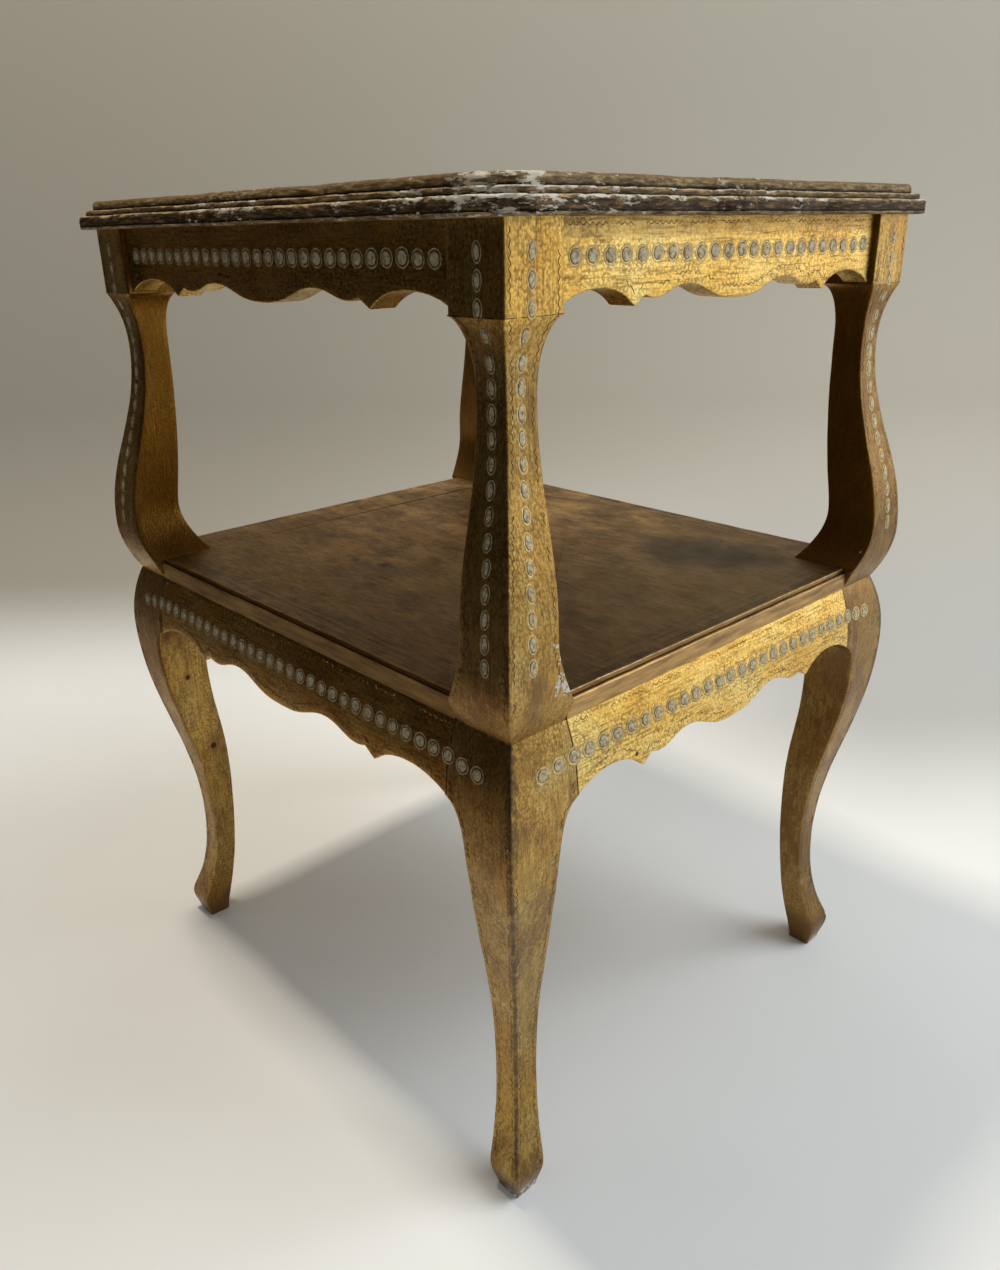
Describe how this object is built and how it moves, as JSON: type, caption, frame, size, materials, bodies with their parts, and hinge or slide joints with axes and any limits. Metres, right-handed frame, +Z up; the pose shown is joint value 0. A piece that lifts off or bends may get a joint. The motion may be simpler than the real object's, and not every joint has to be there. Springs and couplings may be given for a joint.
{
  "type": "two-tier side table",
  "caption": "Small two-tier side table of gilded wood: stepped serpentine top on curved legs, notched shelf, scalloped aprons and cabriole legs below.",
  "frame": {"origin": "on the floor, under the middle of the table", "axes": "+Z up, -Y towards the front, which is one of the two longer sides, and +X to the right"},
  "size_m": [0.4544, 0.4034, 0.61],
  "materials": {
    "gilt_legs": "satin",
    "gilt_aprons": "satin",
    "worn_top": "satin",
    "worn_shelf": "satin",
    "silvered_beads": "satin",
    "bare_wood": "matte",
    "screw_steel": "satin"
  },
  "bodies": {
    "root": {"lower_leg_front_left": "gilt_legs", "lower_leg_front_right": "gilt_legs", "lower_leg_back_right": "gilt_legs", "lower_leg_back_left": "gilt_legs", "upper_leg_front_left": "gilt_legs", "upper_leg_front_right": "gilt_legs", "upper_leg_back_right": "gilt_legs", "upper_leg_back_left": "gilt_legs", "upper_apron_front": "gilt_aprons", "upper_apron_right": "gilt_aprons", "upper_apron_back": "gilt_aprons", "upper_apron_left": "gilt_aprons", "lower_apron_front": "gilt_aprons", "lower_apron_right": "gilt_aprons", "lower_apron_back": "gilt_aprons", "lower_apron_left": "gilt_aprons", "upper_glue_block_front": "bare_wood", "upper_glue_block_right": "bare_wood", "upper_glue_block_back": "bare_wood", "upper_glue_block_left": "bare_wood", "lower_glue_block_front": "bare_wood", "lower_glue_block_right": "bare_wood", "lower_glue_block_back": "bare_wood", "lower_glue_block_left": "bare_wood", "top_panel": "worn_top", "shelf_board": "worn_shelf", "upper_apron_dowels": "bare_wood", "lower_apron_dowels": "bare_wood", "leg_joint_dowels": "bare_wood", "top_fixing_screws": "screw_steel", "shelf_fixing_screws": "screw_steel"}
  },
  "joints": []
}
